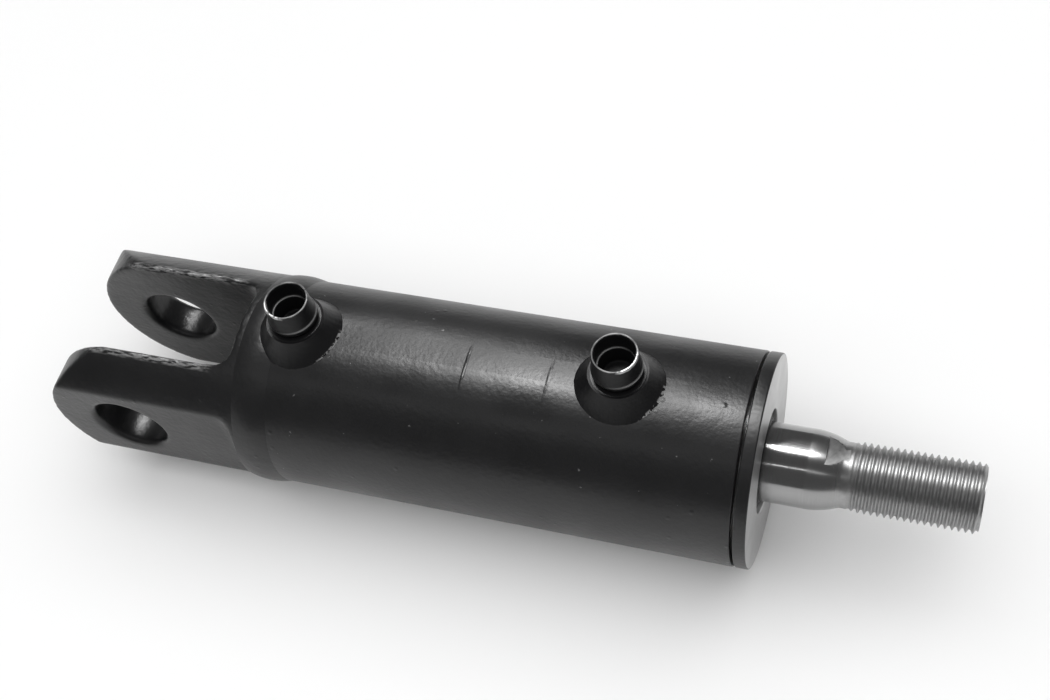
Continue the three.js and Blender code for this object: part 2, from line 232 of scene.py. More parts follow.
def arc(centre_x, centre_y, radius, start, end, steps):
    """Points along an arc, with its angles in degrees."""
    points = []
    for step in range(steps + 1):
        angle = math.radians(start + (end - start) * step / steps)
        points.append((centre_x + radius * math.cos(angle), centre_y + radius * math.sin(angle)))
    return points


def finish_piece(obj, body, slot, materials, *nodes):
    for material in materials:
        obj.data.materials.append(material)
    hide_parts(*nodes)
    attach(obj, body)


# ---- Material tools ----------------------------------------------------------------------------------------

class Shader:
    """A new material, with short calls to add its nodes."""

    def __init__(self, name):
        self.material = bpy.data.materials.new(name)
        self.material.use_nodes = True
        self.tree = self.material.node_tree
        self.tree.nodes.clear()
        self.output = self.add("ShaderNodeOutputMaterial")
        self.surface = self.add("ShaderNodeBsdfPrincipled")
        self.tree.links.new(self.surface.outputs[0], self.output.inputs["Surface"])
        self.where = self.add("ShaderNodeTexCoord").outputs["Object"]

    def add(self, kind, inputs=None, **settings):
        node = self.tree.nodes.new(kind)
        for key, value in settings.items():
            setattr(node, key, value)
        for key, value in (inputs or {}).items():
            if isinstance(value, bpy.types.NodeSocket):
                self.tree.links.new(value, node.inputs[key])
            else:
                node.inputs[key].default_value = value
        return node

    def set(self, **values):
        """Sets or links the surface's sockets: Base_Color is the socket named Base Color."""
        for key, value in values.items():
            socket = self.surface.inputs[key.replace("_", " ")]
            if isinstance(value, bpy.types.NodeSocket):
                self.tree.links.new(value, socket)
            else:
                socket.default_value = value

    def noise(self, scale, detail=2.0, where=None, **inputs):
        values = {"Vector": where or self.where, "Scale": scale, "Detail": detail, **inputs}
        return self.add("ShaderNodeTexNoise", values).outputs["Fac"]

    def math(self, operation, first, second=0.0):
        return self.add("ShaderNodeMath", {0: first, 1: second}, operation=operation).outputs[0]

    def product(self, first, *others):
        for other in others:
            first = self.math("MULTIPLY", first, other)
        return first

    def hypotenuse(self, first, second):
        squares = self.math("ADD", self.product(first, first), self.product(second, second))
        return self.math("SQRT", squares)

    def near(self, value, centre, reach):
        """1 at a centre, falling to 0 at the given reach from it."""
        away = self.math("ABSOLUTE", self.math("SUBTRACT", value, centre))
        return self.ramp(away, 0.0, reach, 1.0, 0.0)

    def ramp(self, value, low, high, out_low=0.0, out_high=1.0):
        """A straight ramp from out_low at low to out_high at high, held outside them."""
        names = {"Value": value, "From Min": low, "From Max": high, "To Min": out_low, "To Max": out_high}
        return self.add("ShaderNodeMapRange", names).outputs["Result"]

    def mix(self, share, first, second):
        """A colour between two others."""
        node = self.add("ShaderNodeMix", data_type="RGBA")
        for key, value in ((0, share), (6, first), (7, second)):
            if isinstance(value, bpy.types.NodeSocket):
                self.tree.links.new(value, node.inputs[key])
            else:
                node.inputs[key].default_value = value
        return node.outputs[2]

    def stretched(self, scale, rotation=(0.0, 0.0, 0.0)):
        """Points turned and then scaled, to draw a noise out into lines."""
        turned_points = self.add("ShaderNodeMapping", {"Vector": self.where, "Rotation": rotation}).outputs[0]
        return self.add("ShaderNodeMapping", {"Vector": turned_points, "Scale": scale}).outputs[0]

    def lathe_sheen(self):
        """Metal whose highlights are drawn out along X by fine lines round it."""
        tangent = self.add("ShaderNodeTangent", direction_type="RADIAL", axis="X").outputs[0]
        self.set(Metallic=1.0, Anisotropic=0.7, Anisotropic_Rotation=0.25, Tangent=tangent)

    def parts(self):
        """The x, y and z of a point."""
        node = self.add("ShaderNodeSeparateXYZ", {0: self.where})
        return node.outputs[0], node.outputs[1], node.outputs[2]

    def bump(self, height, distance, under=None):
        """A normal bent by a height from 0 to 1 that stands for the given distance."""
        values = {"Height": height, "Distance": distance}
        if under is not None:
            values["Normal"] = under
        return self.add("ShaderNodeBump", values).outputs[0]


def grey(value, tint=1.0):
    return (value, value, value * tint, 1.0)


# ---- Materials ---------------------------------------------------------------------------------------------

def paint_grain(shader, skin=0.0):
    """Orange peel, soft unevenness and scattered nibs in the paint, over a skin as rough as asked."""
    uneven = shader.noise(38, 2.0)
    peel = shader.noise(620, 3.0)
    cells = shader.add("ShaderNodeTexVoronoi", {"Vector": shader.where, "Scale": 170.0})
    nib = shader.ramp(cells.outputs["Distance"], 0.0, 0.16, 1.0, 0.0)
    few = shader.ramp(shader.noise(45, 0.0), 0.50, 0.62)
    normal = shader.bump(uneven, 0.45 * MM)
    if skin:
        normal = shader.bump(shader.noise(420, 4.0), skin, normal)
    normal = shader.bump(peel, 0.08 * MM, normal)
    return shader.bump(shader.product(nib, few), 0.13 * MM, normal)


def dress_paint(shader, gloss=0.36, wear_and_highlight=None, wear_and_highlight_tone=0.16, skin=0.0, raised=None, shine=0.5):
    """Semi-gloss black paint. Where a mask of marks is given, it is paler and partly metallic there: paint
    rubbed or chipped through to steel, and painted highlights where callers mix them into the mask.
    """
    tone = shader.mix(shader.noise(90, 4.0), grey(0.0040, 1.10), grey(0.0080, 1.06))
    rough = shader.ramp(shader.noise(38, 5.0), 0.3, 0.7, gloss - 0.05, gloss + 0.07)
    normal = paint_grain(shader, skin)
    if raised is not None:
        normal = shader.bump(raised, 0.16 * MM, normal)
    if wear_and_highlight is not None:
        # The marks get a paler tone: bare steel where paint is rubbed off, painted highlight where a caller's
        # mask holds highlights.
        tone = shader.mix(wear_and_highlight, tone, grey(wear_and_highlight_tone))
        normal = shader.bump(wear_and_highlight, -0.04 * MM, normal)
        shader.set(Metallic=shader.product(wear_and_highlight, 0.8))
    shader.set(Base_Color=tone, Roughness=rough, Normal=normal, Specular_IOR_Level=shine)
    return shader.material


def barrel_paint():
    """Black paint with two short tool marks round the barrel's upper side and a few small scuffs."""
    shader = Shader("barrel_paint")
    x, y, z = shader.parts()
    first_x = tube_low.x + 68.4 * MM
    spacing = 26.6 * MM
    width = 0.6 * MM
    upper = shader.math("GREATER_THAN", z, 0.5 * barrel_radius)
    reach = shader.ramp(shader.near(y, -0.09 * barrel_radius, 0.26 * barrel_radius), 0.0, 0.6)
    first = shader.near(x, first_x, width)
    second = shader.product(shader.near(x, first_x + spacing, width), 0.5)
    marks = shader.product(shader.math("MAXIMUM", first, second), upper, reach)
    broken = shader.ramp(shader.noise(260, 3.0), 0.40, 0.56)
    rubs = shader.product(shader.ramp(marks, 0.5, 0.9), broken, 0.8)
    flecks = shader.ramp(shader.noise(420, 3.0), 0.73, 0.76, 0.0, 0.6)
    return dress_paint(shader, 0.35, shader.math("MAXIMUM", rubs, flecks), 0.22, raised=marks)


def clevis_paint():
    """Black paint over a forged skin, paler along the ears' upper inner edges: partly paint rubbed thin,
    partly painted highlight.
    """
    shader = Shader("clevis_paint")
    x, y, z = shader.parts()
    inner_edge = shader.near(shader.math("ABSOLUTE", y), slot_half + 1.2 * MM, 1.9 * MM)
    upper = shader.ramp(z, 27 * MM, 29 * MM)
    ears = shader.ramp(x, 37 * MM, 33 * MM)
    streaks = shader.ramp(shader.noise(1300, 6.0, where=shader.stretched((0.3, 1.0, 1.0))), 0.42, 0.62)
    # The paler streaks along the upper inner edges are partly paint rubbed thin and partly painted highlight
    # where light catches the bevels.
    wear_and_highlight = shader.product(shader.ramp(inner_edge, 0.1, 0.7), upper, ears, streaks)
    return dress_paint(shader, 0.33, wear_and_highlight, 0.34, skin=0.12 * MM)


def port_weld_paint(x_port):
    """Black paint over a weld, with pale flecks along one part of its toe: partly bare metal, partly painted
    glints.
    """
    shader = Shader("port_weld_paint")
    x, y, _ = shader.parts()
    off = shader.math("SUBTRACT", x, x_port)
    radius = shader.hypotenuse(off, y)
    toe = shader.ramp(shader.near(radius, port_weld_toe_along, 1.0 * MM), 0.2, 0.6)
    rod_side = shader.ramp(off, 8 * MM, 10 * MM)
    one_flank = shader.ramp(y, 2 * MM, 0.0)
    flecks = shader.ramp(shader.noise(900, 4.0), 0.47, 0.53)
    # The flecks on the toe's rod side and -Y flank are partly bare metal and partly painted glints.
    wear_and_highlight = shader.product(toe, rod_side, one_flank, flecks, 0.9)
    return dress_paint(shader, 0.34, wear_and_highlight, 0.5, shine=0.25)


def plug_paint(x_port, rim_z, chip_side):
    """Black paint, rubbed thin along its rim and chipped to bare metal on one side of it, with painted
    highlights along one side of its inner ledge and its collar.
    """
    shader = Shader("plug_paint")
    x, y, z = shader.parts()
    off = shader.math("SUBTRACT", x, x_port)
    radius = shader.hypotenuse(off, y)
    ragged_z = shader.math("ADD", z, shader.product(shader.noise(500, 4.0), 0.9 * MM))
    thin = shader.ramp(shader.noise(150, 2.0), 0.42, 0.62, 0.25, 1.0)
    rim = shader.product(shader.ramp(ragged_z, rim_z + 0.24 * MM, rim_z + 0.34 * MM), thin, 0.4)
    # Painted highlights: a pale arc on the inner ledge, strongest on the -X side, and a thin pale line on the
    # collar's +X side.
    ledge_highlight = shader.product(
        shader.near(z, plug_ledge_z, 0.5 * MM),
        shader.near(radius, plug_ledge_radius + 0.1 * MM, 0.4 * MM),
        shader.ramp(off, 3 * MM, -4 * MM),
        0.45,
    )
    collar_highlight = shader.product(
        shader.near(z, plug_ring_z + MM, 0.5 * MM),
        shader.ramp(radius, plug_wall_radius + 0.2 * MM, plug_wall_radius + 0.5 * MM),
        shader.ramp(off, -2 * MM, 6 * MM),
        0.35,
    )
    # This mask holds the rim's wear together with the painted highlights of the ledge and the collar.
    edges = shader.math("MAXIMUM", rim, shader.math("MAXIMUM", ledge_highlight, collar_highlight))
    towards_x, towards_y = chip_side
    along = shader.math("ADD", shader.product(off, towards_x), shader.product(y, towards_y))
    outer = shader.ramp(along, 4.6 * MM, 5.8 * MM)
    high = shader.ramp(ragged_z, rim_z - 0.7 * MM, rim_z - 0.1 * MM)
    chips = shader.product(outer, high, shader.ramp(shader.noise(420, 5.0), 0.42, 0.47))
    return dress_paint(shader, 0.42, shader.math("MAXIMUM", edges, chips), 0.60, shine=0.27)


def turned_steel():
    """Bare steel with the fine rings that a lathe tool leaves on its faces."""
    shader = Shader("turned_steel")
    _, y, z = shader.parts()
    feed = 0.25 * MM
    waves = shader.product(shader.hypotenuse(y, z), 2 * math.pi / feed)
    rings = shader.ramp(shader.math("SINE", waves), -1.0, 1.0)
    shader.lathe_sheen()
    shader.set(
        Base_Color=shader.mix(shader.noise(60, 4.0), grey(0.40), grey(0.50)),
        Roughness=shader.ramp(shader.noise(140, 4.0), 0.3, 0.7, 0.30, 0.40),
        Normal=shader.bump(rings, 0.003 * MM),
    )
    return shader.material


def rod_steel():
    """Ground and polished rod with fine lines round it. Its taper is duller, and its thread more so."""
    shader = Shader("rod_steel")
    x, _, _ = shader.parts()
    lines = shader.noise(120, 3.0, where=shader.stretched((60.0, 1.0, 1.0)))
    machined = shader.ramp(x, face_x + 12.9 * MM, face_x + 13.4 * MM, 0.17, 0.25)
    threaded = shader.ramp(x, rod_thread_start_x - 3 * MM, rod_thread_start_x + MM)
    polished_tone = shader.mix(lines, grey(0.28), grey(0.38))
    threaded_tone = shader.mix(shader.noise(900, 3.0), grey(0.32), grey(0.46))
    shader.lathe_sheen()
    shader.set(
        Base_Color=shader.mix(threaded, polished_tone, threaded_tone),
        Roughness=shader.math("ADD", machined, shader.product(threaded, 0.24)),
        Normal=shader.bump(lines, 0.004 * MM),
    )
    return shader.material


def milled_steel():
    """A milled flat: dull, with the cutter's fine slanting lines."""
    shader = Shader("milled_steel")
    slanted = shader.stretched((1.0, 0.05, 1.0), rotation=(0.0, 0.0, 0.7))
    lines = shader.noise(2600, 2.0, where=slanted)
    shader.set(
        Base_Color=shader.mix(lines, grey(0.26), grey(0.40)),
        Metallic=1.0,
        Roughness=shader.ramp(shader.noise(700, 2.0), 0.3, 0.7, 0.38, 0.48),
        Normal=shader.bump(lines, 0.03 * MM),
    )
    return shader.material


def seal_rubber():
    shader = Shader("seal_rubber")
    shader.set(
        Base_Color=shader.mix(shader.noise(300, 3.0), grey(0.006), grey(0.012)),
        Roughness=shader.ramp(shader.noise(500, 2.0), 0.3, 0.7, 0.5, 0.65),
        Normal=shader.bump(shader.noise(1500, 2.0), 0.01 * MM),
    )
    return shader.material


def seal_plastic():
    shader = Shader("seal_plastic")
    shader.set(
        Base_Color=shader.mix(shader.noise(400, 3.0), (0.23, 0.17, 0.10, 1.0), (0.29, 0.22, 0.14, 1.0)),
        Roughness=shader.ramp(shader.noise(300, 2.0), 0.3, 0.7, 0.45, 0.6),
        Normal=shader.bump(shader.noise(1800, 2.0), 0.006 * MM),
    )
    return shader.material


paint = dress_paint(Shader("black_paint"))
steel = turned_steel()
rod_finish = rod_steel()
milled = milled_steel()
rubber = seal_rubber()
plastic = seal_plastic()


# ---- Clevis and its weld -----------------------------------------------------------------------------------

# Where the cutters for the clevis end, clear of it.
outside_clevis = clevis_radius + 5 * MM
before_clevis_x = clevis_low.x - 10 * MM


def clevis_blank():
    """Round stock with a spigot that fits the tube, its far end rounded as seen from the side."""
    tip_x = clevis_low.x
    tip_radius = 30.5 * MM
    groove_radius = 30 * MM
    root_x = weld_low.x + 5 * MM
    spigot_radius = bore_radius - gap
    body = turned("clevis", [
        (tip_x, 0), (tip_x, clevis_radius), (root_x - 3 * MM, clevis_radius),
        (root_x, groove_radius), (root_x, spigot_radius),
        (clevis_high.x, spigot_radius), (clevis_high.x, 0),
    ], steps=192)

    side_view = Matrix.Rotation(math.pi / 2, 4, "X")
    centre_x = tip_x + tip_radius
    past_x = clevis_high.x + 5 * MM
    block = [(past_x, outside_clevis), (centre_x, outside_clevis), *arc(centre_x, 0, tip_radius, 90, 270, 64),
             (centre_x, -outside_clevis), (past_x, -outside_clevis)]
    combine(body, prism(block, -outside_clevis, outside_clevis, side_view), "INTERSECT")
    return body


def cut_slot(body):
    bottom_x = 42 * MM
    corner = 6 * MM
    inner_x = bottom_x - corner
    inner_y = slot_half - corner
    slot = [(before_clevis_x, -slot_half), *arc(inner_x, -inner_y, corner, -90, 0, 12),
            *arc(inner_x, inner_y, corner, 0, 90, 12), (before_clevis_x, slot_half)]
    combine(body, prism(slot, -outside_clevis, outside_clevis, Matrix.Identity(4)))


def cut_ear(body, side):
    """Mills one ear's outer side flat and takes the sharp edges off its inner side."""
    end_x = 38.7 * MM
    corner = 5 * MM
    flat = [(before_clevis_x, ears_half), *arc(end_x, ears_half + corner, corner, -90, 0, 12),
            (end_x + corner, outside_clevis), (before_clevis_x, outside_clevis)]
    turn = Matrix.Rotation(0 if side > 0 else math.pi, 4, "X")
    combine(body, prism(flat, -outside_clevis, outside_clevis, turn))

    bevel = 1.2 * MM
    bevel_length = 72 * MM
    edge_z = math.sqrt(clevis_radius ** 2 - slot_half ** 2)
    square = [(-bevel, -bevel), (bevel, -bevel), (bevel, bevel), (-bevel, bevel)]
    on_edge = Matrix.Rotation(math.pi / 2, 4, "Y") @ Matrix.Rotation(math.pi / 4, 4, "Z")
    for up in (1, -1):
        shift = Matrix.Translation((before_clevis_x, side * slot_half, up * (edge_z + 0.6 * bevel)))
        combine(body, prism(square, 0, bevel_length, shift @ on_edge))


def cut_pin_hole(body):
    bevel = 1.2 * MM
    mouth = pin_hole_radius + bevel
    beyond = ears_half + MM
    hole = [(-beyond, 0), (-beyond, mouth), (-ears_half, mouth),
            (-ears_half + bevel, pin_hole_radius), (-slot_half - bevel, pin_hole_radius),
            (-slot_half, mouth), (slot_half, mouth), (slot_half + bevel, pin_hole_radius),
            (ears_half - bevel, pin_hole_radius), (ears_half, mouth), (beyond, mouth), (beyond, 0)]
    along_y = Matrix.Rotation(math.pi / 2, 4, "Z")
    combine(body, turned("hole", hole, steps=96, place=along_y))


def soften(body):
    """Rounds every edge a little, like a forging's."""
    remesh = body.modifiers.new("soften", "REMESH")
    remesh.mode = "VOXEL"
    remesh.voxel_size = 0.7 * MM
    even = body.modifiers.new("even", "SMOOTH")
    even.factor = 0.5
    even.iterations = 12
    apply_modifiers(body)
    body.data.shade_smooth()


def make_clevis():
    body = clevis_blank()
    cut_slot(body)
    for side in (1, -1):
        cut_ear(body, side)
    cut_pin_hole(body)
    soften(body)
    finish_piece(body, "barrel", "black_paint", [clevis_paint()], "clevis_base")


def make_clevis_weld():
    """The bead between the clevis and the tube: a low crown that swells and sinks as it goes round."""
    steps = 360
    across = 24
    start_x = weld_low.x - 0.4 * MM
    end_x = weld_high.x + 0.6 * MM
    crown = radius_of("clevis_weld") - clevis_radius
    inside = clevis_radius - 4 * MM
    vertices = []
    for step in range(steps):
        angle = 2 * math.pi * step / steps
        spot = Vector((math.cos(angle), math.sin(angle), 0))
        swell = 0.74 + 0.26 * noise.noise(2.2 * spot)
        sway = 0.7 * MM * noise.noise(3.1 * spot + Vector((7, 0, 0)))
        for row in range(across + 1):
            t = row / across
            x = start_x + t * (end_x - start_x) + sway * math.sin(math.pi * t)
            base = clevis_radius + t * (barrel_radius - clevis_radius)
            fine_spot = Vector((14 * spot.x, 14 * spot.y, 260 * x))
            ripple = 0.05 * MM * noise.noise(fine_spot)
            radius = base - 0.12 * MM + (swell * crown + ripple) * math.sin(math.pi * t) ** 0.9
            vertices.append((x, radius * math.sin(angle), radius * math.cos(angle)))
        for x in (end_x, start_x):
            vertices.append((x, inside * math.sin(angle), inside * math.cos(angle)))
    bead = smooth(mesh_object("clevis_weld_bead", vertices, sleeve_faces(steps, across + 3)), 40)
    finish_piece(bead, "barrel", "black_paint", [paint], "clevis_weld")


# ---- Barrel tube -------------------------------------------------------------------------------------------

def at_port(x):
    """Turns a body's own X axis to +Z, at a port."""
    return Matrix.Translation((x, 0, 0)) @ Matrix.Rotation(-math.pi / 2, 4, "Y")


def make_tube():
    thread_x = ports["rod_end"] + 22.5 * MM
    thread_radius = barrel_radius - 4.8 * MM
    runout = 1.2 * MM
    outline = rounded([
        (tube_low.x, bore_radius, 0),
        (tube_low.x, barrel_radius - 4 * MM, 0),
        (weld_high.x, barrel_radius, 0),
        (tube_end_x, barrel_radius, 0.5 * MM),
        (tube_end_x, thread_radius, 0.3 * MM),
        (thread_x, thread_radius, 0),
        (thread_x - runout, bore_radius, 0),
    ])
    tube = turned("tube", outline, steps=256)
    for x in ports.values():
        low, high = bore_radius - 8 * MM, barrel_radius + 6 * MM
        oil_hole = [(low, 0), (low, oil_hole_radius), (high, oil_hole_radius), (high, 0)]
        combine(tube, turned("hole", oil_hole, steps=48, place=at_port(x)))
    smooth(tube)
    finish_piece(tube, "barrel", "black_paint", [barrel_paint()], "barrel_tube")


# ---- Ports -------------------------------------------------------------------------------------------------

def boss_bore(end):
    low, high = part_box(end + "_port_boss")
    return (high.x - low.x) / 2 - 1.7 * MM


def make_boss(end):
    x = ports[end]
    low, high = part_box(end + "_port_boss")
    radius = (high.x - low.x) / 2
    bore = boss_bore(end)
    bottom_z = barrel_radius - 3 * MM
    floor_z = barrel_radius + 1.4 * MM
    top_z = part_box(end + "_port_weld")[1].z
    outline = rounded([
        (bottom_z, oil_hole_radius, 0), (bottom_z, radius, 0),
        (top_z, radius, 0.1 * MM), (top_z, bore, 0.2 * MM),
        (floor_z, bore, 0.3 * MM), (floor_z, oil_hole_radius, 0.2 * MM),
    ])
    boss = turned(end + "_boss", outline, steps=96, place=at_port(x))
    finish_piece(boss, "barrel", "black_paint", [paint], end + "_port_boss")


def make_plug(end, chip_side):
    """A hollow plug: a shank in the boss, a raised ring, and a thin wall up to the rim."""
    x = ports[end]
    low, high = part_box(end + "_port_plug")
    ring_radius = (high.x - low.x) / 2
    shank_radius = boss_bore(end) - gap
    neck_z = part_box(end + "_port_boss")[1].z + gap
    hollow_z = low.z + 1.3 * MM
    fillet = 0.2 * MM
    outline = rounded([
        (low.z, 0, 0), (low.z, shank_radius, 0.5 * MM), (neck_z, shank_radius, fillet),
        (neck_z, plug_wall_radius, fillet), (plug_ring_z, plug_wall_radius, fillet),
        (plug_ring_z, ring_radius, 0.35 * MM), (plug_ring_z + 1.1 * MM, ring_radius, 0.5 * MM),
        (plug_ring_z + 1.3 * MM, ring_radius - 0.35 * MM, 0.3 * MM),
        (high.z, plug_rim_radius, fillet), (high.z, 6.5 * MM, 0.15 * MM),
        (high.z - 0.7 * MM, 6.15 * MM, 0.3 * MM), (plug_ledge_z, 6.05 * MM, 0.3 * MM),
        (plug_ledge_z, plug_ledge_radius, 0.3 * MM), (hollow_z, 5.5 * MM, 0.8 * MM), (hollow_z, 0, 0),
    ], steps=5)
    plug = turned(end + "_plug", outline, steps=128, place=at_port(x))
    finish_piece(plug, end + "_plug", "black_plug", [plug_paint(x, high.z, chip_side)], end + "_port_plug")


def make_port_weld(end, seed):
    """A smooth cone of weld round a boss, whose toe follows the round tube."""
    steps = 240
    rows = 20
    x = ports[end]
    top_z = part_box(end + "_port_weld")[1].z
    boss_low, boss_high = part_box(end + "_port_boss")
    boss_radius = (boss_high.x - boss_low.x) / 2
    top_radius = boss_radius + 0.7 * MM
    inner_radius = boss_radius - 0.4 * MM
    longer = port_weld_toe_along - port_weld_toe_across
    toe_sink = 0.05 * MM
    root_sink = 1.2 * MM

    def on_circle(radius, angle, z):
        return Vector((x + radius * math.cos(angle), radius * math.sin(angle), z))

    def on_tube(radius, angle, sink):
        height = math.sqrt((barrel_radius - sink) ** 2 - (radius * math.sin(angle)) ** 2)
        return on_circle(radius, angle, height)

    vertices = []
    for step in range(steps):
        angle = 2 * math.pi * step / steps
        spot = Vector((math.cos(angle), math.sin(angle), seed))
        toe = port_weld_toe_across + longer * math.cos(angle) ** 2
        toe += 0.25 * MM * noise.noise(1.8 * spot) + 0.12 * MM * noise.noise(9 * spot)
        top = on_circle(top_radius, angle, top_z)
        foot = on_tube(toe, angle, toe_sink)
        waist = top.lerp(foot, 0.5)
        waist.z -= 0.9 * MM
        vertices.append(on_circle(inner_radius, angle, top_z - 0.1 * MM))
        for row in range(rows + 1):
            t = row / rows
            vertices.append((1 - t) ** 2 * top + 2 * t * (1 - t) * waist + t * t * foot)
        vertices.append(on_tube(toe, angle, root_sink))
        vertices.append(on_tube(inner_radius, angle, root_sink))
    weld = smooth(mesh_object(end + "_weld_cone", vertices, sleeve_faces(steps, rows + 4)), 40)
    finish_piece(weld, "barrel", "black_paint", [port_weld_paint(x)], end + "_port_weld")


# ---- Gland and wiper ---------------------------------------------------------------------------------------

def make_gland():
    """The turned gland. The rim of its flange is painted like the barrel."""
    hole = rod_radius + gap
    nose_x = gland_low.x
    nose_radius = 21 * MM
    body_x = ports["rod_end"] + 9 * MM
    body_radius = bore_radius - gap
    thread_x = ports["rod_end"] + 22.8 * MM
    thread_radius = barrel_radius - 5.1 * MM
    flange_x = face_x - 4 * MM
    recess = wiper_radius + gap
    recess_x = wiper_low.x - gap
    outline = rounded([
        (nose_x, hole, 0.3 * MM), (nose_x, nose_radius, 0.5 * MM), (body_x, nose_radius, 0),
        (body_x, body_radius, 0.5 * MM), (thread_x, body_radius, 0),
        (thread_x + 1.2 * MM, thread_radius, 0), (flange_x, thread_radius, 0),
        (flange_x, barrel_radius, 0.5 * MM), (face_x, barrel_radius, 0.55 * MM),
        (face_x, recess, 0.4 * MM), (recess_x, recess, 0.2 * MM), (recess_x, hole, 0.2 * MM),
    ], steps=5)
    gland = turned("gland_head", outline, steps=256)
    finish_piece(gland, "barrel", "turned_steel", [steel, paint], "gland")
    painted_from = barrel_radius - 0.3 * MM
    for face in gland.data.polygons:
        if math.hypot(face.center.y, face.center.z) > painted_from:
            face.material_index = 1


def make_wiper():
    back = wiper_low.x
    lip = rod_radius + running_gap
    outline = rounded([
        (back, lip + MM, 0.3 * MM), (back, wiper_radius, 0.3 * MM),
        (face_x - 1.4 * MM, wiper_radius, 0.4 * MM), (face_x - 1.5 * MM, lip + 1.9 * MM, 0.5 * MM),
        (wiper_high.x, lip + 0.6 * MM, 0.3 * MM), (wiper_high.x, lip, 0.1 * MM),
        (face_x - 1.6 * MM, lip, 0),
    ])
    finish_piece(turned("wiper", outline, steps=160), "barrel", "seal_rubber", [rubber], "wiper_seal")


# ---- Rod ---------------------------------------------------------------------------------------------------

# The rod end's thread, and the neck where the taper meets it.
thread_pitch = 2 * MM
thread_crest = 10.85 * MM
thread_root = 9.7 * MM
rod_neck = 10.25 * MM
rod_steps = 96


def rod_profile():
    """The rod from its tail to its thread, as (x, radius). The taper steepens as it goes."""
    shoulder_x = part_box("piston")[1].x + gap
    taper_start_x, taper_end_x = face_x + 13.3 * MM, face_x + 23.6 * MM
    taper_rows = 24
    edge = 0.4 * MM
    tail_edge = 0.5 * MM
    profile = [
        (rod_low.x, 0), (rod_low.x, rod_tail_radius - tail_edge), (rod_low.x + tail_edge, rod_tail_radius),
        (shoulder_x, rod_tail_radius), (shoulder_x, rod_radius - edge), (shoulder_x + edge, rod_radius),
    ]
    for row in range(taper_rows + 1):
        t = row / taper_rows
        x = taper_start_x + t * (taper_end_x - taper_start_x)
        profile.append((x, rod_radius - t * t * (rod_radius - rod_neck)))
    return [*profile, (rod_thread_start_x, rod_neck)]


def add_ring(vertices, x, radius):
    first = len(vertices)
    for step in range(rod_steps):
        angle = 2 * math.pi * step / rod_steps
        vertices.append((x, radius * math.sin(angle), radius * math.cos(angle)))
    return first


def bridge(faces, first, second):
    for step in range(rod_steps):
        beside = (step + 1) % rod_steps
        faces.append((first + step, first + beside, second + beside, second + step))


def thread_radius(x, phase):
    """The thread's radius. Phase 0.5 is the middle of a crest, and phase 0 the middle of a root."""
    crest_half, root_half = 1 / 16, 3 / 8
    fade_length = 1.6 * thread_pitch
    chamfer = MM
    ridge = min(1.0, max(0.0, (root_half - abs(phase - 0.5)) / (root_half - crest_half)))
    fade = min(1.0, (x - rod_thread_start_x) / fade_length)
    base = rod_neck - fade * (rod_neck - thread_root)
    radius = base + fade * ridge * (thread_crest - base)
    return min(radius, thread_root + (rod_end_x - x) * (thread_crest - thread_root) / chamfer)


def add_thread(vertices, faces):
    """Rows of points that climb one pitch per turn, held between the neck and the rod's end."""
    per_turn = 16
    turns = math.ceil((rod_end_x - rod_thread_start_x) / thread_pitch) + 1
    rows = per_turn * turns
    index = {}
    for row in range(-per_turn, rows + 1):
        for step in range(rod_steps):
            turn = step / rod_steps
            x = rod_thread_start_x + (row / per_turn + turn) * thread_pitch
            x = min(max(x, rod_thread_start_x), rod_end_x)
            phase = ((x - rod_thread_start_x) / thread_pitch - turn) % 1.0
            radius = thread_radius(x, phase)
            angle = 2 * math.pi * turn
            index[row, step] = len(vertices)
            vertices.append((x, radius * math.sin(angle), radius * math.cos(angle)))
    for row in range(-per_turn, rows):
        for step in range(rod_steps):
            beside = (row, step + 1)
            above = (row + 1, step + 1)
            if step + 1 == rod_steps:
                beside = (row + per_turn, 0)
                above = (row + per_turn + 1, 0)
            if above in index:
                faces.append((index[row, step], index[beside], index[above], index[row + 1, step]))


def cut_flats(rod):
    """Two opposite wrench flats that fall towards the thread."""
    wall_height = 10.8 * MM
    length = rod_thread_start_x - rod_flats_start_x
    side = [(0, -rod_radius), (length, -rod_radius), (length, rod_radius), (0, rod_radius)]
    from_wall = Matrix.Translation((rod_flats_start_x, 0, wall_height))
    for turn in (0, math.pi):
        around = Matrix.Rotation(rod_flats_turn, 4, "X") @ Matrix.Rotation(turn, 4, "X")
        place = around @ from_wall @ Matrix.Rotation(rod_flats_slope, 4, "Y")
        combine(rod, prism(side, 0, 4 * MM, place))


def mill_flats(rod):
    """Gives the flats the rod's second material."""
    across = Matrix.Rotation(rod_flats_turn, 3, "X") @ Vector((0, 0, 1))
    for face in rod.data.polygons:
        lean = abs(face.normal.dot(across))
        beside_flats = rod_flats_start_x < face.center.x < rod_thread_start_x
        if beside_flats and abs(lean - math.cos(rod_flats_slope)) < 1e-4:
            face.material_index = 1


def make_rod():
    """The rod with its seat for the piston, its taper with two wrench flats, and a helical thread."""
    vertices = []
    faces = []
    last = None
    for x, radius in rod_profile():
        here = add_ring(vertices, x, radius)
        if last is not None:
            bridge(faces, last, here)
        last = here
    add_thread(vertices, faces)
    end = add_ring(vertices, rod_end_x, thread_root)
    bridge(faces, end, add_ring(vertices, rod_end_x, 0))
    rod = mesh_object("rod", vertices, faces)
    cut_flats(rod)
    smooth(rod, 35)
    finish_piece(rod, "rod", "rod_steel", [rod_finish, milled], "piston_rod")
    mill_flats(rod)


# ---- Pieces inside the barrel ------------------------------------------------------------------------------

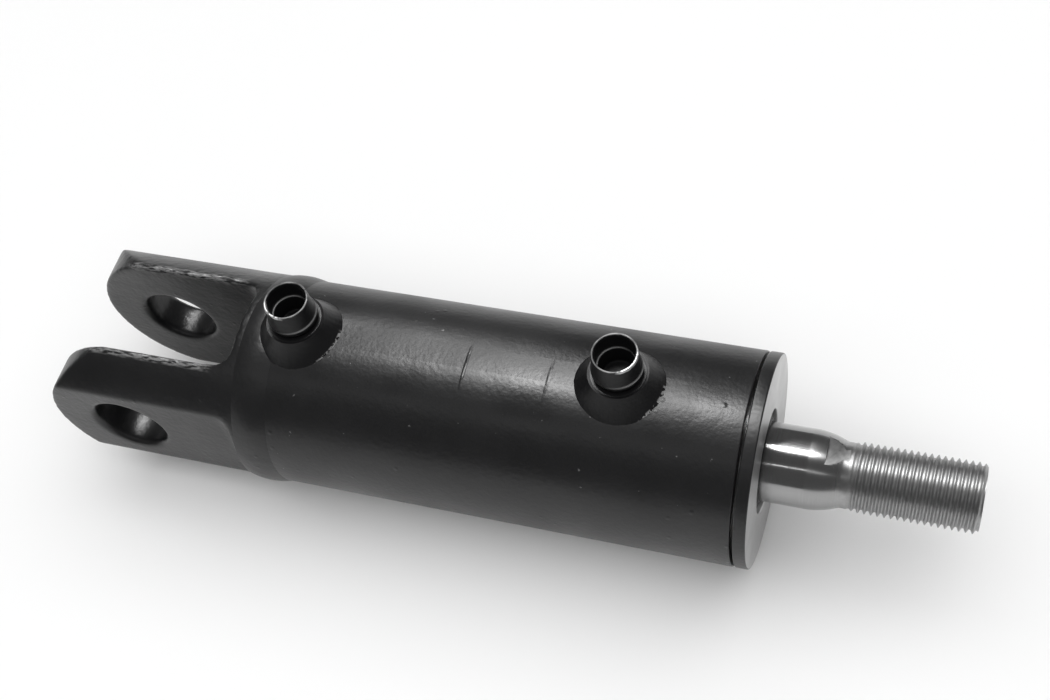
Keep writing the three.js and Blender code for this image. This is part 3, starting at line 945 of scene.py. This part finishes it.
def make_inner_ring(node, inner_radius, body, slot, material, edge=0.25 * MM):
    """A square-section ring with eased edges, as long and as wide as its CAD node."""
    low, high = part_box(node)
    outer_radius = radius_of(node)
    outline = rounded([
        (low.x, inner_radius, edge), (low.x, outer_radius, edge),
        (high.x, outer_radius, edge), (high.x, inner_radius, edge),
    ])
    finish_piece(turned(node + "_ring", outline), body, slot, [material], node)


def make_o_ring(node, body):
    """A round-section ring, as wide as its node along X."""
    low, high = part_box(node)
    thick = (high.x - low.x) / 2
    middle_x = (low.x + high.x) / 2
    middle_radius = radius_of(node) - thick * math.sin(math.radians(60))
    sides = 24
    outline = arc(middle_x, middle_radius, thick, 0, 360 - 360 / sides, sides - 1)
    finish_piece(turned(node + "_ring", outline), body, "seal_rubber", [rubber], node)


def make_piston():
    """The piston, with a groove outside for each of its rings and one inside for its O-ring."""
    low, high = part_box("piston")
    radius = radius_of("piston")
    corner = MM
    wear_groove_radius = 25.2 * MM
    seal_groove_radius = 22.5 * MM

    def groove(node, bottom):
        ring_low, ring_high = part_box(node)
        start, end = ring_low.x - gap, ring_high.x + gap
        return [(start, radius, 0.2 * MM), (start, bottom, 0.15 * MM),
                (end, bottom, 0.15 * MM), (end, radius, 0.2 * MM)]

    o_ring_start = (low.x + high.x) / 2 - 1.4 * MM
    o_ring_end = (low.x + high.x) / 2 + 1.4 * MM
    o_ring_bottom = tail_hole_radius + 2 * MM
    edge = 0.1 * MM
    outline = rounded([
        (low.x, tail_hole_radius, 0.4 * MM), (low.x, radius - corner, 0.3 * MM),
        (low.x + corner, radius, 0.3 * MM),
        *groove("piston_wear_ring_rear", wear_groove_radius),
        *groove("piston_seal", seal_groove_radius),
        *groove("piston_wear_ring_front", wear_groove_radius),
        (high.x - corner, radius, 0.3 * MM), (high.x, radius - corner, 0.3 * MM),
        (high.x, tail_hole_radius, 0.4 * MM),
        (o_ring_end, tail_hole_radius, edge), (o_ring_end, o_ring_bottom, edge),
        (o_ring_start, o_ring_bottom, edge), (o_ring_start, tail_hole_radius, edge),
    ])
    finish_piece(turned("piston_body", outline), "rod", "turned_steel", [steel], "piston")


def make_nut():
    """A hexagon nut with its corners eased by a turned cone."""
    low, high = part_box("piston_nut")
    corner = (high.y - low.y) / 2
    flat = corner * math.cos(math.radians(30))
    across = Matrix.Rotation(math.pi / 2, 4, "Y") @ Matrix.Rotation(math.pi / 2, 4, "Z")
    nut = prism(arc(0, 0, corner, 0, 300, 5), low.x, high.x, across)
    nut.name = "nut"
    ease = 0.5 * (corner - flat)
    past = 0.1 * MM
    face_radius = flat - 0.3 * MM
    clear = corner + 0.2 * MM
    cone = [(low.x - past, 0), (low.x - past, face_radius), (low.x + ease, clear),
            (high.x - ease, clear), (high.x + past, face_radius), (high.x + past, 0)]
    combine(nut, turned("cone", cone), "INTERSECT")
    hole = [(low.x - MM, 0), (low.x - MM, tail_hole_radius),
            (high.x + MM, tail_hole_radius), (high.x + MM, 0)]
    combine(nut, turned("hole", hole))
    finish_piece(smooth(nut), "rod", "turned_steel", [steel], "piston_nut")


def make_rod_seal():
    """A U-shaped seal with two lips."""
    low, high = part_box("rod_seal")
    inner, outer = rod_radius + running_gap, radius_of("rod_seal")
    lip = 1.3 * MM
    cup_x = low.x + 2.8 * MM
    outline = rounded([
        (low.x, inner, 0.15 * MM), (low.x, inner + lip, 0.4 * MM),
        (cup_x, (inner + outer) / 2, 0.8 * MM), (low.x, outer - lip, 0.4 * MM),
        (low.x, outer, 0.15 * MM), (high.x, outer, 0.4 * MM), (high.x, inner, 0.4 * MM),
    ])
    finish_piece(turned("rod_seal_ring", outline), "barrel", "seal_rubber", [rubber], "rod_seal")


def make_inner_pieces():
    wear_ring_inner = 25.5 * MM
    make_inner_ring("gland_backup_ring", 24.9 * MM, "barrel", "seal_plastic", plastic)
    make_inner_ring("rod_guide_ring", rod_radius + running_gap, "barrel", "seal_plastic", plastic)
    make_inner_ring("piston_seal", 25 * MM, "piston_rings", "seal_plastic", plastic)
    make_inner_ring("piston_seal_energizer", 22.8 * MM, "piston_rings", "seal_rubber", rubber, 0.6 * MM)
    make_inner_ring("piston_wear_ring_rear", wear_ring_inner, "piston_rings", "seal_plastic", plastic)
    make_inner_ring("piston_wear_ring_front", wear_ring_inner, "piston_rings", "seal_plastic", plastic)
    make_o_ring("gland_o_ring", "barrel")
    make_o_ring("piston_o_ring", "rod")
    make_rod_seal()
    make_piston()
    make_nut()


# ---- Studio ------------------------------------------------------------------------------------------------

def turned_to(azimuth, elevation):
    """The direction at an azimuth from -Y towards +X, and an elevation, in degrees."""
    side, up = math.radians(azimuth), math.radians(elevation)
    return Vector((math.sin(side) * math.cos(up), -math.cos(side) * math.cos(up), math.sin(up)))


def make_camera():
    """The photograph's angle: from above the near side, turned a little towards the rod end."""
    aim = Vector((3.6855 * barrel_radius, 0.7486 * barrel_radius, 0))
    distance = 14.874 * barrel_radius
    away = turned_to(29.31, 56.19)
    roll = math.radians(-15.78)
    camera = bpy.data.objects.new("camera", bpy.data.cameras.new("camera"))
    camera.data.sensor_width = 36
    camera.data.lens = 51.93
    camera.data.clip_start = 0.01
    turn = away.to_track_quat("Z", "Y").to_matrix().to_4x4() @ Matrix.Rotation(roll, 4, "Z")
    camera.matrix_world = Matrix.Translation(aim + distance * away) @ turn
    bpy.context.scene.collection.objects.link(camera)
    bpy.context.scene.camera = camera


def soft_light(name, azimuth, elevation, distance, size, power):
    """A rectangular lamp that faces the middle of the cylinder."""
    aim = Vector((3.5 * barrel_radius, 0, 0))
    away = turned_to(azimuth, elevation)
    data = bpy.data.lights.new(name, "AREA")
    data.shape = "RECTANGLE"
    data.size, data.size_y = size
    data.energy = power
    light = bpy.data.objects.new(name, data)
    turn = away.to_track_quat("Z", "Y").to_matrix().to_4x4()
    light.matrix_world = Matrix.Translation(aim + distance * away) @ turn
    bpy.context.scene.collection.objects.link(light)
    return light


def make_floor():
    half = 6.0
    floor_z = cad_box[0].z
    corners = [(-half, -half, floor_z), (half, -half, floor_z), (half, half, floor_z), (-half, half, floor_z)]
    floor = mesh_object("floor", corners, [(0, 1, 2, 3)])
    shader = Shader("floor_paper")
    shader.set(
        Base_Color=shader.mix(shader.noise(3, 2.0), grey(0.86), grey(0.88)),
        Roughness=shader.ramp(shader.noise(40, 2.0), 0.3, 0.7, 0.75, 0.85),
        Specular_IOR_Level=0.1,
    )
    floor.data.materials.append(shader.material)


def make_lights():
    """A ceiling that lights the floor and stays out of reflections, and three lamps only seen in them."""
    ceiling = soft_light("ceiling", azimuth=0, elevation=90, distance=1.6, size=(3.4, 3.4), power=64)
    ceiling.visible_glossy = False
    near_lamp = 1.2
    for lamp in (
        soft_light("strip", azimuth=204, elevation=58, distance=near_lamp, size=(0.30, 1.05), power=8),
        soft_light("key", azimuth=198, elevation=75, distance=near_lamp, size=(0.45, 0.17), power=8),
        soft_light("tube_lamp", azimuth=353, elevation=56, distance=near_lamp, size=(1.4, 0.012), power=0.6),
    ):
        lamp.visible_diffuse = False

    world = bpy.data.worlds.new("studio")
    world.use_nodes = True
    background = world.node_tree.nodes["Background"]
    background.inputs["Color"].default_value = grey(1.0)
    background.inputs["Strength"].default_value = 0.15
    bpy.context.scene.world = world
    bpy.context.scene.view_settings.view_transform = "Standard"


make_camera()
make_floor()
make_lights()
make_clevis()
make_clevis_weld()
make_tube()
# For each port: the direction, in X and Y, in which its rim is chipped, and the seed of its weld's waves.
for end, chip_side, seed in (("cap_end", (-0.59, -0.81), 3.0), ("rod_end", (0.89, -0.45), 11.0)):
    make_boss(end)
    make_plug(end, chip_side)
    make_port_weld(end, seed)
make_gland()
make_wiper()
make_rod()
make_inner_pieces()
